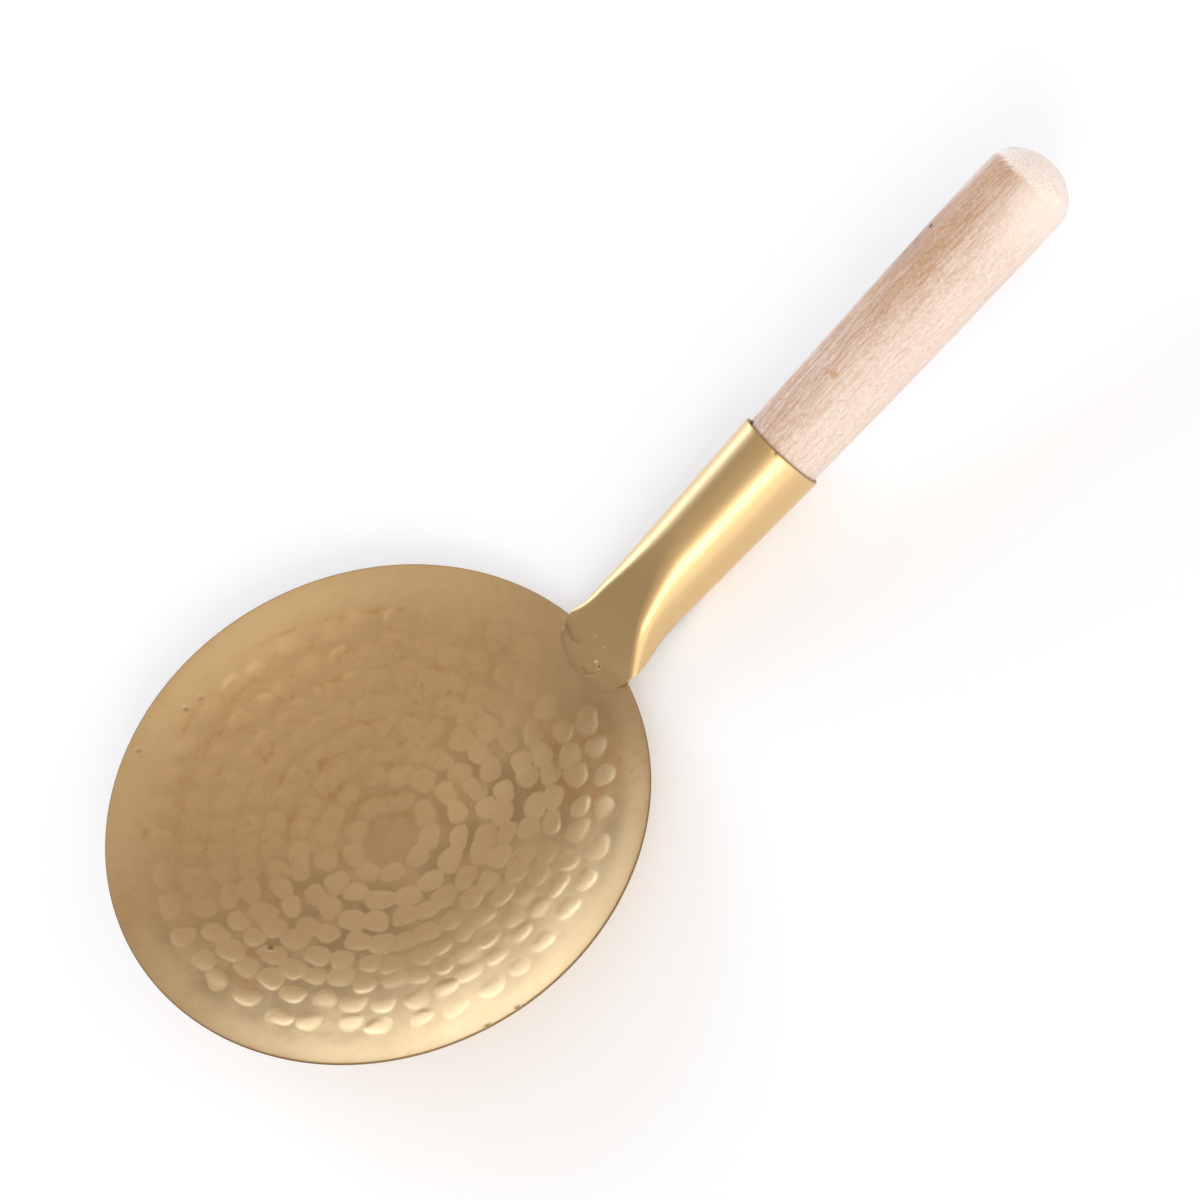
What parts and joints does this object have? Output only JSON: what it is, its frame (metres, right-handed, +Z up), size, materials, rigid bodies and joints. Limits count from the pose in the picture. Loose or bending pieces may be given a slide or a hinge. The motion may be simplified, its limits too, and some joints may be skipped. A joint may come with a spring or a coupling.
{
  "type": "tofu scoop",
  "caption": "Shallow hammered brass dish brazed to a socket rolled from sheet brass, on a turned beech handle, for lifting tofu out of broth",
  "frame": {"origin": "middle of the bounding box, on the table that the scoop lies on", "axes": "+X from the dish to the handle's butt, +Z up from the table, Y across the dish"},
  "size_m": [0.279, 0.13, 0.039],
  "materials": {
    "dish_brass": "hammered sheet, satin, smooth at the rim",
    "socket_brass": "rolled sheet, satin, lightly polished",
    "braze_metal": "brazing filler, dull, nearly flush with pinholes",
    "beech": "turned beech, sanded, unvarnished",
    "nail_brass": "domed nail head, satin"
  },
  "bodies": {
    "root": {"dish": "dish_brass", "socket": "socket_brass", "braze_fillet": "braze_metal", "handle": "beech", "socket_nail": "nail_brass"}
  },
  "joints": []
}
